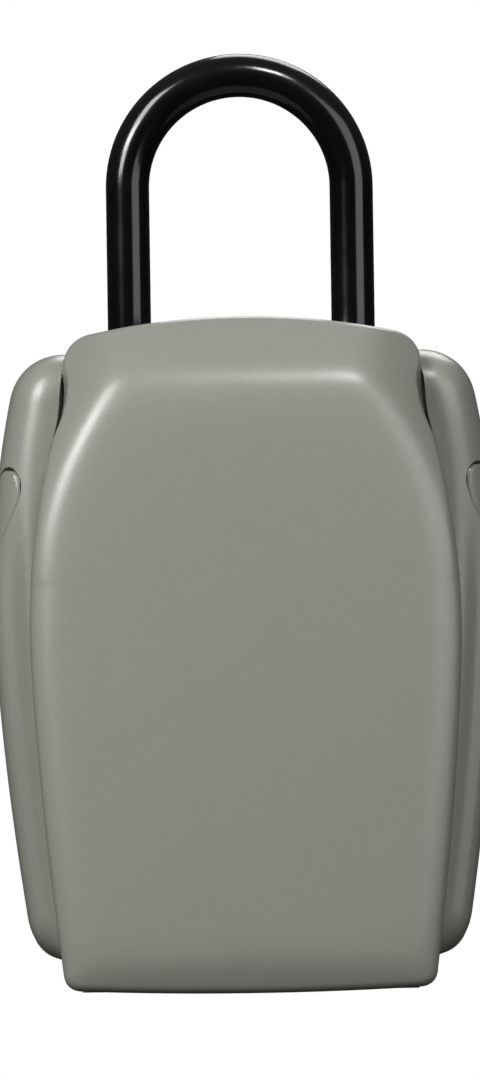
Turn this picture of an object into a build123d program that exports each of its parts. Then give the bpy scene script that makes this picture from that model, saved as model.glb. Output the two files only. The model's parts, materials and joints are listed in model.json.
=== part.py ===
from build123d import *
from math import cos, exp, radians, sin, sqrt
import os

# Key lock box: a die-cast housing with a drop-down door that carries the code dials, a hinged
# weather cover over the dials, and a plastic-coated shackle that lifts out of two sockets.
# Millimetres, +Z up, front towards -Y, origin under the middle of the body.

# ---- overall sizes
body_height = 134.8          # foot to crown of the weather cover
body_width = 101.0           # across the two wings of the door
cover_width = 86.0           # weather cover at its widest
body_depth = 52.0            # cover face to back pad

# ---- shells
front_y = -body_depth / 2    # most forward point of the cover
back_y = body_depth / 2      # face of the back pad
pad_thickness = 1.0
parting_y = 6.0              # front rim of the rear housing
parting_gap = 0.2            # housing rim to the back of the door
deck_y = -7.0                # floor of the recess that the cover sits in
rim_gap = 0.3                # cover rim to that floor
cover_gap = 0.5              # cover side to the wall of its recess
cover_wall = 2.0
door_wall = 2.0
housing_wall = 3.0
wing_front_y = -9.5          # flat of the wings
housing_inset = 0.3          # housing outline inside the door outline
housing_edge = 4.0           # rounding of the back edge
wing_foot = 6.2              # underside of the door and of the wings
wing_drop = 7.0              # wing tops under the crown
crown_drop = 0.8             # door and housing tops under the crown of the cover

# ---- hinges, both along X
hinge_z = 3.2
knuckle_radius = 2.6
pin_radius = 1.2
running_gap = 0.05           # radial, pin in a turning knuckle
knuckle_gap = 0.3            # between neighbouring knuckles
inner_knuckle = (13.0, 21.7)     # |x| of the door's knuckles, on both hinges
outer_knuckle = (22.0, 30.0)     # |x| of the housing's and the cover's knuckles
cover_hinge_y = -12.0

# ---- key compartment
compartment_flank = 12.0         # flank of the body to the inside of the compartment
compartment_floor = 10.0
shackle_block_height = 31.8      # compartment ceiling under the crown
strike_half_height = 8.0
hook_post_drop = 16.0            # key hook under the compartment ceiling
hook_wire = 1.5
hook_reach = 8.0

# ---- shackle
shackle_core_radius = 3.75
coat_thickness = 0.6
shackle_pitch = 44.9             # between leg centres
shackle_height = 53.0            # top of the shackle over the crown
leg_depth = 28.8                 # leg ends under the crown
socket_gap = 0.15                # radial, leg in its socket
socket_floor_gap = 0.8
seal_gap = 0.1                   # radial, coat in its seal
seal_wall = 1.55
seal_depth = 8.0                 # seal seat under the crown
coat_depth = 7.3                 # end of the coat under the crown
neck_cut = 1.25                  # depth of the latch groove in the legs

# ---- shackle latch
latch_thickness = 3.0
latch_drop = 23.8                # underside of the latch plate under the crown
latch_gap = 0.2
latch_end = 8.55                 # latch plate beyond the middle of a leg
latch_rim = 1.9                  # latch plate beyond its keyholes
latch_travel = 4.0
keyhole_gap = 0.35
slot_gap = 0.25
tab_half_width = 4.0
tab_thickness = 3.0
tab_reach = 6.0                  # below the compartment ceiling
bridge_thickness = 2.0
bridge_half_height = 5.5
bridge_seat = 0.3                # bridge behind the rim of the housing
bridge_end = 3.0                 # bridge beyond the latch plate

# ---- dials
dial_count = 4
dial_radius = 8.5
dial_pitch = 9.0
dial_width = 5.4
dial_cover_gap = 3.0             # dial to the inside of the cover
dial_proud = 2.6                 # dial in front of the dial housing
dial_drop = 48.8                 # dial axis under the crown
dial_slot_gap = 0.4
faces_per_dial = 10
tumbler_radius = 4.6
tumbler_width = 1.6
shaft_radius = 2.0
shaft_travel = 2.0
bezel_thickness = 0.8

# ---- dial housing, chassis and back plate of the door
box_flank = 12.0                 # dial housing inside the widest of the cover
box_bottom = 16.0
box_drop = 20.0                  # its top under the crown
chassis_thickness = 1.5
chassis_clearance = 3.0          # dials to the chassis web
chassis_side = 3.0               # chassis beyond the outermost dials
chassis_half_height = 18.0
chassis_screw_inset = (9.0, 3.0)     # screws inside the edges of the chassis
plate_thickness = 2.0
plate_flank = 11.0               # back plate inside the flank of the body
plate_gap = 0.15
plate_margin = 2.5               # ledge that the back plate sits on
plate_bottom = 10.5
plate_drop = 13.0
boss_radius = 3.0
boss_inset = 2.6                 # boss centre from the walls that it joins
screw_radius = 0.8
screw_head_radius = 1.8
screw_head = 1.2

# ---- side buttons and latch hooks
button_y = -1.9
button_drop = 42.3               # centre under the crown
button_half_length = 13.0
button_half_width = 4.4
button_slant = 22.0              # degrees, top towards the front
button_gap = 0.3
cap_depth = 5.9                  # inner face of the cap from the flank of the body
button_press = 1.3
button_pop = 1.2
stem_half_height = 5.0
stem_y = (-3.8, 0.2)
flange_depth = 10.4              # outer face of the flange from the flank of the body
flange_thickness = 1.5
flange_half_height = 12.5
hook_half_height = 6.0
hook_step = 2.8                  # hook inside the flange
hook_arm_y = (0.5, 2.0)
hook_thickness = 1.6
tooth_height = 1.1
strike_thickness = 1.5
strike_y = 8.0
strike_lip = 1.3                 # strike plate inside the compartment wall
strike_root = 3.0                # strike plate into the wall
strike_screw_x = 1.4             # its screws, into the wall
tooth_gap = 0.8
tooth_length = 3.2

# ---- small gears
spring_radius = 1.8
spring_y = -2.0
spring_rib_thickness = 1.7
lever_drop = (28.0, 20.0)        # reset lever under the dial axis
lever_x = (-11.0, -7.0)          # its thumb piece
lever_thickness = 1.6

# ---- levels that follow from the sizes above
door_back = parting_y - parting_gap
housing_back = back_y - pad_thickness
cover_rim = deck_y - rim_gap
plate_front = door_back - plate_thickness
cavity_front = deck_y + door_wall
plate_half = body_width / 2 - plate_flank
cavity_half = plate_half - plate_margin
crown_z = body_height - crown_drop
compartment_half = body_width / 2 - compartment_flank
compartment_top = body_height - shackle_block_height
shackle_top = body_height + shackle_height
shackle_coat_radius = shackle_core_radius + coat_thickness
seal_radius = shackle_coat_radius + seal_gap + seal_wall
neck_radius = shackle_core_radius - neck_cut
latch_half_length = shackle_pitch / 2 + latch_end
latch_half_depth = shackle_core_radius + keyhole_gap + latch_rim
dial_row_half = dial_count * dial_pitch / 2
chassis_half = dial_row_half + chassis_side
box_half = cover_width / 2 - box_flank
button_inner_x = body_width / 2 - cap_depth
flange_outer = body_width / 2 - flange_depth
flange_x = (flange_outer - flange_thickness, flange_outer)
hook_outer_x = flange_x[0] - hook_step
strike_inner_x = compartment_half - strike_lip
strike_outer_x = compartment_half + strike_root
wing_top = body_height - wing_drop
dial_z = body_height - dial_drop
dial_y = front_y + cover_wall + dial_cover_gap + dial_radius
box_front = dial_y - dial_radius + dial_proud
box_top = body_height - box_drop
web_front = dial_y + dial_radius + chassis_clearance
button_z = body_height - button_drop
plate_top = body_height - plate_drop
shackle_y = (parting_y + housing_back) / 2
latch_z = body_height - latch_drop
leg_end = body_height - leg_depth
front_reach = body_depth         # clear of everything in front
dial_xs = [(index - (dial_count - 1) / 2) * dial_pitch for index in range(dial_count)]


# ---- curved fronts, as depth over width and height

def soft_max(first, second, blend):
    """The larger of two values, with a rounded changeover."""
    return (first + second + sqrt((first - second) ** 2 + 4 * blend ** 2)) / 2


def cover_half_width(z):
    """Half the width of the cover, widest a little above half height."""
    half, widest = cover_width / 2, 0.534 * body_height
    if z < widest:
        return half * (1 - 0.1465 * ((widest - z) / widest) ** 1.5)
    return half * (1 - 1.395 * ((z - widest) / body_height) ** 2)


def cover_fall(x, z):
    """How far the cover's face has fallen behind its plateau, past the creases."""
    half = cover_width / 2
    crease_start = 0.608 * body_height
    if z < crease_start:
        crease = cover_half_width(z) - 2.5
    else:
        crease = half * 0.937 - 3.89 * half * ((z - crease_start) / body_height) ** 2
    sides = soft_max(0, 1.25 * (abs(x) - crease), 1.2)
    top = soft_max(0, 1.15 * (z - (body_height - 12.3)), 1.5)
    foot = soft_max(0, 0.5 * (12 - z), 0.8)
    return soft_max(soft_max(sides, top, 2.0), foot, 0.8)


def cover_front(x, z):
    """Depth of the cover's face: a slightly crowned plateau inside its creases."""
    middle = 0.52 * body_height
    crowning = 1.2 * (2 * x / cover_width) ** 2 + 0.8 * ((z - middle) / (0.45 * body_height)) ** 2
    return front_y + crowning + cover_fall(x, z) - cover_fall(0, middle)


def wing_half_width(z):
    """Half the width across the wings, widest at the side buttons."""
    half, widest = body_width / 2, 0.593 * body_height
    if z < widest:
        return half - 7.5 * ((widest - z) / (widest - wing_foot)) ** 1.6
    return half - 48.2 * ((z - widest) / body_height) ** 2


def wing_front(x, z):
    """Depth of the wings: flat at the cover, rolled to the outline, with a shallow valley."""
    roll = 9.5
    beyond_side = 1 - (wing_half_width(z) - abs(x)) / roll
    beyond_top = 1 - (wing_top - z) / roll
    beyond_foot = 1 - (z - wing_foot) / roll
    turn = sqrt(sum(max(0, part) ** 2 for part in (beyond_side, beyond_top, beyond_foot)))
    steepest = 0.93
    held = min(turn, steepest)
    fall = 1 - sqrt(1 - held ** 2) + (turn - held) * steepest / sqrt(1 - steepest ** 2)
    valley_x = wing_half_width(z) - 4.0
    fade = 1 / (1 + exp((z - 0.66 * body_height) / 6))
    valley = 1.3 * fade * exp(-((abs(x) - valley_x) / 2.4) ** 2)
    return wing_front_y + roll * fall + valley


# ---- helpers that work on the part being built

def facing(y):
    """The plane at depth y as seen from the front: extrusions from it run forward."""
    return Plane.XZ.offset(-y)


def block(x_range, y_range, z_range, mode=Mode.ADD):
    """A box between limits along each axis."""
    ranges = (x_range, y_range, z_range)
    with Locations(tuple((low + high) / 2 for low, high in ranges)):
        Box(*(high - low for low, high in ranges), mode=mode)


def rod(radius, x_range, y, z, mode=Mode.ADD):
    """A cylinder along X."""
    with Locations(Location(((x_range[0] + x_range[1]) / 2, y, z), (0, 90, 0))):
        Cylinder(radius, x_range[1] - x_range[0], mode=mode)


def post(radius, x, y_range, z, mode=Mode.ADD):
    """A cylinder along Y."""
    with Locations(Location((x, (y_range[0] + y_range[1]) / 2, z), (90, 0, 0))):
        Cylinder(radius, y_range[1] - y_range[0], mode=mode)


def shave_front(depth_at, half_width, z_range):
    """Cut away everything in front of a curved face."""
    pitch = 2.0
    columns = [half_width * (2 * step / round(2 * half_width / pitch) - 1)
               for step in range(round(2 * half_width / pitch) + 1)]
    steps = round((z_range[1] - z_range[0]) / pitch)
    levels = [z_range[0] + (z_range[1] - z_range[0]) * step / steps for step in range(steps + 1)]
    points = [[Vector(x, depth_at(x, z), z) for x in columns] for z in levels]
    face = Face.make_surface_from_array_of_points(points, tol=0.01)
    extrude(to_extrude=face, amount=front_reach, dir=(0, -1, 0), mode=Mode.SUBTRACT)


def cover_outline(y, grow):
    """The cover seen from the front, at depth y, grown or shrunk all round."""
    half = cover_width / 2
    foot_z, corner_z = 4.0, 0.8
    lower = [0.26, 0.41]
    upper = [0.64, 0.71, 0.80]
    neck = [(0.858, 0.849), (0.842, 0.898), (0.832, 0.925)]
    levels = [foot_z] + [share * body_height for share in lower + [0.534] + upper]
    with BuildSketch(facing(y)) as outline:
        with BuildLine():
            side = Spline(
                *[(cover_half_width(z) + grow, z) for z in levels],
                *[(wide * half + grow, high * body_height) for wide, high in neck],
            )
            shoulder = (0.686 * half + grow / 2, body_height - 3.0 + grow)
            corner = Spline(side @ 1, shoulder, tangents=[side % 1, (-1, 0.14)])
            heel = (cover_half_width(0) - 3.0 + grow, corner_z - grow)
            turn = Spline(heel, side @ 0, tangents=[(1, 0.05), side % 0])
            mirror(side, about=Plane.YZ)
            mirror(corner, about=Plane.YZ)
            mirror(turn, about=Plane.YZ)
            ThreePointArc(shoulder, (0, body_height + grow), (-shoulder[0], shoulder[1]))
            ThreePointArc((-heel[0], heel[1]), (0, -grow), heel)
        make_face()
    return outline.sketch


def wing_outline(y, grow):
    """The two wings of the door and housing as one outline, at depth y."""
    corner = 9.0
    flank_top = wing_top - corner
    flank_foot = wing_foot + corner * 0.85
    levels = [flank_foot + (flank_top - flank_foot) * share for share in (0, 0.2, 0.42, 0.64, 0.84, 1)]
    shoulder_x = wing_half_width(wing_top) - corner - 0.6 + grow
    heel_x = wing_half_width(wing_foot) - corner * 0.8 + grow
    with BuildSketch(facing(y)) as outline:
        with BuildLine():
            flank = Spline(*[(wing_half_width(z) + grow, z) for z in levels])
            shoulder = Spline(flank @ 1, (shoulder_x, wing_top + grow), tangents=[flank % 1, (-1, 0)])
            heel = Spline((heel_x, wing_foot - grow), flank @ 0, tangents=[(1, 0), flank % 0])
            mirror(flank, about=Plane.YZ)
            mirror(shoulder, about=Plane.YZ)
            mirror(heel, about=Plane.YZ)
            Line((-shoulder_x, wing_top + grow), (shoulder_x, wing_top + grow))
            Line((-heel_x, wing_foot - grow), (heel_x, wing_foot - grow))
        make_face()
    return outline.sketch


def crown_outline(y, grow):
    """The raised middle of the door and housing behind the cover's crown, at depth y."""
    half = 0.80 * cover_width / 2 + grow
    corner = (half * 0.84, crown_z - 2.6 + grow)
    foot_z = wing_top - 12
    with BuildSketch(facing(y)) as outline:
        with BuildLine():
            side = Spline((half, wing_top - 2), corner, tangents=[(0, 1), (-1, 0.14)])
            mirror(side, about=Plane.YZ)
            ThreePointArc(corner, (0, crown_z + grow), (-corner[0], corner[1]))
            Polyline((-half, wing_top - 2), (-half, foot_z), (half, foot_z), (half, wing_top - 2))
        make_face()
    return outline.sketch


def rounded_slab(outline_at, front, back, grow, radius):
    """An outline extruded from front to back, with its back edge rounded."""
    with BuildPart() as slab:
        extrude(to_extrude=outline_at(back - radius, grow), amount=back - radius - front)
        rings = [outline_at(back - radius * (1 - sin(radians(turn))),
                            grow - radius * (1 - cos(radians(turn))))
                 for turn in (0, 30, 60, 85)]
        loft(sections=rings)
    return slab.part


def mirrored(piece):
    """The same piece on the other side of the box."""
    with BuildPart() as twin:
        add(mirror(piece.part, about=Plane.YZ, mode=Mode.PRIVATE))
    return twin


def hinge_knuckles(x_range, y, arm_y, arm_z):
    """A pair of hinge knuckles with the arms that join them to their wall."""
    for side in (-1, 1):
        span = both_ends(side, x_range)
        rod(knuckle_radius, span, y, hinge_z)
        block(span, arm_y, arm_z)


def both_ends(side, x_range):
    """An |x| range on the left (-1) or right (1) side."""
    return tuple(sorted(side * x for x in x_range))


def save(piece, name):
    piece.part.label = name
    export_step(piece.part, f"parts/{name}.step")


os.makedirs("parts", exist_ok=True)

# ==== rear housing, fixed ==============================================================

bridge_z = latch_z + latch_thickness / 2
bridge_half_length = latch_half_length + latch_travel + bridge_end
screw_x = compartment_half + strike_screw_x
strike_z = (button_z - strike_half_height, button_z + strike_half_height)
strike_screw_zs = (button_z - 5, button_z + 5)
bridge_y = (parting_y + bridge_seat, parting_y + bridge_seat + bridge_thickness)
bridge_screw_x = bridge_half_length - 1.8
bridge_screw_radius = 1.0

with BuildPart() as housing_foot:
    block((3.0 - cover_half_width(0), cover_half_width(0) - 3.0), (parting_y, housing_back),
          (0, wing_foot + 8))
    fillet(housing_foot.faces().sort_by(Axis.Y)[-1].edges(), housing_edge)

with BuildPart() as rear_housing:
    add(rounded_slab(wing_outline, parting_y, housing_back, -housing_inset, housing_edge))
    add(rounded_slab(crown_outline, parting_y, housing_back, 0, housing_edge))
    add(housing_foot.part)
    block((-compartment_half, compartment_half), (parting_y, housing_back - housing_wall),
          (compartment_floor, compartment_top), Mode.SUBTRACT)
    hinge_knuckles(outer_knuckle, parting_y, (parting_y, parting_y + 2),
                   (hinge_z - knuckle_radius, hinge_z))
    for side in (-1, 1):
        span = both_ends(side, (inner_knuckle[0] - knuckle_gap, inner_knuckle[1] + knuckle_gap))
        rod(knuckle_radius + 0.4, span, parting_y, hinge_z, Mode.SUBTRACT)
        with Locations((side * shackle_pitch / 2, shackle_y, leg_end - socket_floor_gap)):
            Cylinder(shackle_core_radius + socket_gap, body_height, mode=Mode.SUBTRACT,
                     align=(Align.CENTER, Align.CENTER, Align.MIN))
        with Locations((side * shackle_pitch / 2, shackle_y, body_height - seal_depth)):
            Cylinder(seal_radius, body_height, mode=Mode.SUBTRACT,
                     align=(Align.CENTER, Align.CENTER, Align.MIN))
        block(both_ends(side, (compartment_half - 1, strike_outer_x)),
              (parting_y, strike_y + strike_thickness), strike_z, Mode.SUBTRACT)
        for z in strike_screw_zs:
            post(screw_radius, side * screw_x, (strike_y, strike_y + 7), z, Mode.SUBTRACT)
        post(bridge_screw_radius, side * bridge_screw_x, (parting_y, parting_y + 10), bridge_z,
             Mode.SUBTRACT)
    rod(pin_radius, (-outer_knuckle[1], outer_knuckle[1]), parting_y, hinge_z, Mode.SUBTRACT)
    block((-bridge_half_length - 0.2, bridge_half_length + 0.2),
          (parting_y, bridge_y[1]),
          (bridge_z - bridge_half_height - 0.2, bridge_z + bridge_half_height + 0.2), Mode.SUBTRACT)
    block((-latch_half_length - 1, latch_half_length + latch_travel + 0.5),
          (parting_y, shackle_y + latch_half_depth + 0.3),
          (latch_z - latch_gap, latch_z + latch_thickness + latch_gap), Mode.SUBTRACT)
    block((-tab_half_width - 0.4, tab_half_width + latch_travel + 0.4),
          (shackle_y - latch_half_depth - 0.4, shackle_y - latch_half_depth + tab_thickness + 0.4),
          (compartment_top - 1, latch_z), Mode.SUBTRACT)
save(rear_housing, "rear_housing")


with BuildPart() as back_pad:
    with BuildSketch(facing(back_y)):
        with Locations((0, body_height / 2)):
            RectangleRounded(2 * compartment_half - 6, body_height - 24, 8)
    extrude(amount=pad_thickness)
save(back_pad, "back_pad")

with BuildPart() as door_hinge_pin:
    rod(pin_radius, (-outer_knuckle[1], outer_knuckle[1]), parting_y, hinge_z)
save(door_hinge_pin, "door_hinge_pin")

with BuildPart() as shackle_seals:
    for side in (-1, 1):
        with BuildSketch(Plane.XY.offset(body_height - seal_depth)):
            with Locations((side * shackle_pitch / 2, shackle_y)):
                Circle(seal_radius)
                Circle(shackle_coat_radius + seal_gap, mode=Mode.SUBTRACT)
        extrude(amount=seal_depth - crown_drop - 4.0)
save(shackle_seals, "shackle_seals")

with BuildPart() as latch_bridge:
    block((-bridge_half_length, bridge_half_length), bridge_y,
          (bridge_z - bridge_half_height, bridge_z + bridge_half_height))
    fillet(latch_bridge.edges().filter_by(Axis.Y), 1.5)
    for side in (-1, 1):
        post(bridge_screw_radius, side * bridge_screw_x, (parting_y, parting_y + 4), bridge_z,
             Mode.SUBTRACT)
save(latch_bridge, "latch_bridge")

with BuildPart() as latch_bridge_screws:
    for side in (-1, 1):
        post(bridge_screw_radius, side * bridge_screw_x, (bridge_y[0], parting_y + 8), bridge_z)
save(latch_bridge_screws, "latch_bridge_screws")

with BuildPart() as key_hook:
    hook_z = compartment_top - hook_post_drop
    hook_back = housing_back - housing_wall
    block((-5, 5), (hook_back - 1.5, hook_back), (hook_z - 7, hook_z + 5))
    post(hook_wire, 0, (hook_back - hook_reach, hook_back - 1), hook_z)
    with Locations((0, hook_back - hook_reach, hook_z)):
        Cylinder(hook_wire, 6, align=(Align.CENTER, Align.CENTER, Align.MIN))
        Sphere(hook_wire)
save(key_hook, "key_hook")

with BuildPart() as right_strike_plate:
    block((strike_inner_x, strike_outer_x), (strike_y, strike_y + strike_thickness), strike_z)
    for z in strike_screw_zs:
        post(screw_radius, screw_x, (strike_y - 1, strike_y + 3), z, Mode.SUBTRACT)
save(right_strike_plate, "right_strike_plate")
save(mirrored(right_strike_plate), "left_strike_plate")

with BuildPart() as strike_screws:
    for side in (-1, 1):
        for z in strike_screw_zs:
            post(screw_radius, side * screw_x, (strike_y, strike_y + 6), z)
            post(1.4, side * screw_x, (strike_y - 0.9, strike_y), z)
save(strike_screws, "strike_screws")

# ==== shackle, lifts out ================================================================

arch_radius = shackle_pitch / 2
arch_z = shackle_top - shackle_coat_radius - arch_radius
coat_end = body_height - coat_depth


def shackle_run(leg_z):
    """The centre line of the shackle from one leg end to the other."""
    with BuildLine(Plane.XZ.offset(-shackle_y)) as run:
        left = Line((-arch_radius, leg_z), (-arch_radius, arch_z))
        arch = ThreePointArc(left @ 1, (0, arch_z + arch_radius), (arch_radius, arch_z))
        Line(arch @ 1, (arch_radius, leg_z))
    return run.line


with BuildPart() as shackle_core:
    with BuildSketch(Plane.XY.offset(leg_end)):
        with Locations((-arch_radius, shackle_y)):
            Circle(shackle_core_radius)
    sweep(path=shackle_run(leg_end))
    ends = shackle_core.edges().group_by(Axis.Z)[0]
    chamfer(ends, 0.8)
    for side in (-1, 1):
        with BuildSketch(Plane.XY.offset(latch_z - 0.6)):
            with Locations((side * arch_radius, shackle_y)):
                Circle(shackle_core_radius + 1)
                Circle(neck_radius, mode=Mode.SUBTRACT)
        extrude(amount=latch_thickness + 1.2, mode=Mode.SUBTRACT)
save(shackle_core, "shackle_core")

with BuildPart() as shackle_coat:
    with BuildSketch(Plane.XY.offset(coat_end)):
        with Locations((-arch_radius, shackle_y)):
            Circle(shackle_coat_radius)
            Circle(shackle_core_radius, mode=Mode.SUBTRACT)
    sweep(path=shackle_run(coat_end))
save(shackle_coat, "shackle_coat")

with BuildPart() as shackle_latch_plate:
    block((-latch_half_length, latch_half_length),
          (shackle_y - latch_half_depth, shackle_y + latch_half_depth),
          (latch_z, latch_z + latch_thickness))
    block((-tab_half_width, tab_half_width),
          (shackle_y - latch_half_depth, shackle_y - latch_half_depth + tab_thickness),
          (compartment_top - tab_reach, latch_z + 1))
    for side in (-1, 1):
        with BuildSketch(Plane.XY.offset(latch_z)):
            with Locations((side * arch_radius, shackle_y)):
                Circle(shackle_core_radius + keyhole_gap)
            with Locations((side * arch_radius - latch_travel / 2 - 1, shackle_y)):
                SlotCenterToCenter(latch_travel + 1, 2 * (neck_radius + slot_gap))
        extrude(amount=latch_thickness, mode=Mode.SUBTRACT)
save(shackle_latch_plate, "shackle_latch_plate")

# ==== door, swings down on the lower hinge ==============================================

plate_middle = (plate_bottom + plate_top) / 2
cavity_z = (plate_bottom + plate_margin, plate_top - plate_margin)
web_z = (dial_z - chassis_half_height, dial_z + chassis_half_height)
chassis_screw_spots = [(side * (chassis_half - chassis_screw_inset[0]), z) for side in (-1, 1)
                       for z in (web_z[0] + chassis_screw_inset[1], web_z[1] - chassis_screw_inset[1])]
plate_screw_spots = [(side * (cavity_half - boss_inset), z) for side in (-1, 1)
                     for z in (cavity_z[0] + boss_inset, plate_middle - 8, cavity_z[1] - boss_inset)]
relief_half = dial_row_half + 1
spring_rib_inner = box_half - door_wall - 0.5
spring_rib_x = (spring_rib_inner, spring_rib_inner + spring_rib_thickness)
lever_z = tuple(dial_z - drop for drop in lever_drop)
lever_slot_x = (lever_x[0] - 0.4, lever_x[1] + shaft_travel + 0.4)


def button_prism(x_range, grow):
    """The slanted oval of the right-hand side button, extruded along X."""
    with BuildPart() as prism:
        with BuildSketch(Plane.YZ.offset(x_range[0])):
            with Locations(Location((button_y, button_z), button_slant)):
                Ellipse(button_half_width + grow, button_half_length + grow)
        extrude(amount=x_range[1] - x_range[0])
    return prism.part


with BuildPart() as door_shell:
    extrude(to_extrude=wing_outline(door_back, 0), amount=door_back - wing_front_y + 1)
    shave_front(wing_front, body_width / 2 + 3, (wing_foot - 4, body_height + 4))
    extrude(to_extrude=crown_outline(door_back, 0), amount=door_back - deck_y)

with BuildPart() as door_casing:
    add(door_shell.part)
    extrude(to_extrude=cover_outline(deck_y, cover_gap), amount=front_reach, mode=Mode.SUBTRACT)
    with BuildSketch(facing(deck_y + 1)):
        with Locations((0, (box_bottom + box_top) / 2)):
            RectangleRounded(2 * box_half, box_top - box_bottom, 4)
    extrude(amount=deck_y + 1 - box_front)
    chamfer(door_casing.faces().sort_by(Axis.Y)[0].edges(), 1.2)
    hinge_knuckles(inner_knuckle, parting_y, (parting_y - knuckle_radius, door_back),
                   (hinge_z, wing_foot + 2))
    hinge_knuckles(inner_knuckle, cover_hinge_y, (cover_hinge_y - knuckle_radius, deck_y + 1),
                   (hinge_z + 0.2, wing_foot + 3))
    block((-plate_half, plate_half), (plate_front, door_back), (plate_bottom, plate_top),
          Mode.SUBTRACT)
    block((-cavity_half, cavity_half), (cavity_front, plate_front), cavity_z, Mode.SUBTRACT)
    block((-box_half + door_wall, box_half - door_wall), (box_front + door_wall, cavity_front),
          (box_bottom + door_wall, box_top - door_wall), Mode.SUBTRACT)
    block((-relief_half, relief_half), (box_front + door_wall / 2, cavity_front),
          (dial_z - dial_radius, dial_z + dial_radius), Mode.SUBTRACT)
    for x in dial_xs:
        slot_height = 2 * sqrt(dial_radius ** 2 - (dial_radius - dial_proud - door_wall) ** 2) + 1
        block((x - dial_width / 2 - dial_slot_gap, x + dial_width / 2 + dial_slot_gap),
              (box_front - 1, box_front + door_wall + 1),
              (dial_z - slot_height / 2, dial_z + slot_height / 2), Mode.SUBTRACT)
    for x, z in chassis_screw_spots:
        post(boss_radius, x, (box_front + 1, web_front), z)
        post(screw_radius, x, (web_front - 8, web_front), z, Mode.SUBTRACT)
    for x, z in plate_screw_spots:
        post(boss_radius, x, (cavity_front - 1, plate_front), z)
        post(screw_radius, x, (cavity_front, plate_front), z, Mode.SUBTRACT)
    for side in (-1, 1):
        block(both_ends(side, (cavity_half - 1, flange_x[1] + button_pop + 0.2)),
              (cavity_front, plate_front), (button_z - flange_half_height - 1.5,
                                            button_z + flange_half_height + 1.5), Mode.SUBTRACT)
        block(both_ends(side, (cavity_half, button_inner_x)),
              (stem_y[0] - 0.3, stem_y[1] + 0.3),
              (button_z - stem_half_height - 0.3, button_z + stem_half_height + 0.3), Mode.SUBTRACT)
        block(both_ends(side, spring_rib_x), (cavity_front - 1, stem_y[1]),
              (button_z - 4, button_z + 4))
    cap_hole = button_prism((button_inner_x - button_press - 0.1, body_width), button_gap)
    add(cap_hole, mode=Mode.SUBTRACT)
    add(mirror(cap_hole, about=Plane.YZ, mode=Mode.PRIVATE), mode=Mode.SUBTRACT)
    rod(pin_radius + running_gap, (-outer_knuckle[1], outer_knuckle[1]), parting_y, hinge_z,
        Mode.SUBTRACT)
    rod(pin_radius, (-outer_knuckle[1], outer_knuckle[1]), cover_hinge_y, hinge_z, Mode.SUBTRACT)
save(door_casing, "door_casing")

with BuildPart() as cover_hinge_pin:
    rod(pin_radius, (-outer_knuckle[1], outer_knuckle[1]), cover_hinge_y, hinge_z)
save(cover_hinge_pin, "cover_hinge_pin")

catch_z = body_height - 13
with BuildPart() as cover_catches:
    for side in (-1, 1):
        block(both_ends(side, (14, 20)), (deck_y - 4, deck_y), (catch_z, catch_z + 4))
    fillet(cover_catches.edges().filter_by(Axis.X).group_by(Axis.Y)[0], 1.5)
save(cover_catches, "cover_catches")

with BuildPart() as dial_bezel:
    with BuildSketch(facing(box_front)):
        with Locations((0, dial_z)):
            RectangleRounded(2 * dial_row_half + 12, 2 * dial_radius + 8, 3)
    extrude(amount=bezel_thickness)
    for x in dial_xs:
        window = 2 * sqrt(dial_radius ** 2 - (dial_radius - dial_proud) ** 2) + 1
        block((x - dial_width / 2 - dial_slot_gap, x + dial_width / 2 + dial_slot_gap),
              (box_front - 2, box_front), (dial_z - window / 2, dial_z + window / 2), Mode.SUBTRACT)
save(dial_bezel, "dial_bezel")

with BuildPart() as dial_chassis:
    block((-chassis_half, chassis_half), (web_front, web_front + chassis_thickness), web_z)
    for side in (-1, 1):
        block(both_ends(side, (chassis_half - chassis_thickness, chassis_half)),
              (dial_y - 3, web_front), (dial_z - 8, dial_z + 8))
        rod(shaft_radius + running_gap, both_ends(side, (chassis_half - 3, chassis_half + 1)),
            dial_y, dial_z, Mode.SUBTRACT)
    for x, z in chassis_screw_spots:
        post(1.0, x, (web_front - 1, web_front + 3), z, Mode.SUBTRACT)
save(dial_chassis, "dial_chassis")

with BuildPart() as chassis_screws:
    for x, z in chassis_screw_spots:
        post(screw_radius, x, (web_front - 6, web_front + chassis_thickness), z)
        post(screw_head_radius, x,
             (web_front + chassis_thickness, web_front + chassis_thickness + screw_head), z)
save(chassis_screws, "chassis_screws")

with BuildPart() as detent_spring:
    spring_top = dial_z - dial_radius - 0.7
    block((1 - dial_row_half, dial_row_half - 1), (web_front - 0.8, web_front),
          (spring_top - 2, spring_top + 0.6))
    for x in dial_xs:
        block((x - 2, x + 2), (dial_y - 2, web_front - 0.8), (spring_top, spring_top + 0.6))
save(detent_spring, "detent_spring")

with BuildPart() as gate_bar:
    bar_front = dial_y + dial_radius + 0.5
    block((-relief_half, relief_half), (bar_front, web_front), (dial_z - 2, dial_z + 2))
    for x in dial_xs:
        block((x + dial_width / 2 + 0.2, x + dial_width / 2 + tumbler_width),
              (dial_y + tumbler_radius + 0.3, bar_front), (dial_z - 1.2, dial_z + 1.2))
save(gate_bar, "gate_bar")

with BuildPart() as door_back_plate:
    block((plate_gap - plate_half, plate_half - plate_gap), (plate_front, door_back),
          (plate_bottom + plate_gap, plate_top - plate_gap))
    for side in (-1, 1):
        block(both_ends(side, (hook_outer_x - hook_thickness - button_press - 0.5,
                               hook_outer_x + tooth_height + button_pop + 0.3)),
              (plate_front, door_back),
              (button_z - hook_half_height - 0.5, button_z + hook_half_height + 0.5), Mode.SUBTRACT)
    block(lever_slot_x, (plate_front, door_back), (lever_z[0] + 1.7, lever_z[1] - 1.7), Mode.SUBTRACT)
    for x, z in plate_screw_spots:
        post(1.0, x, (plate_front, door_back), z, Mode.SUBTRACT)
        post(1.9, x, (door_back - 1.0, door_back), z, Mode.SUBTRACT)
save(door_back_plate, "door_back_plate")

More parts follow.
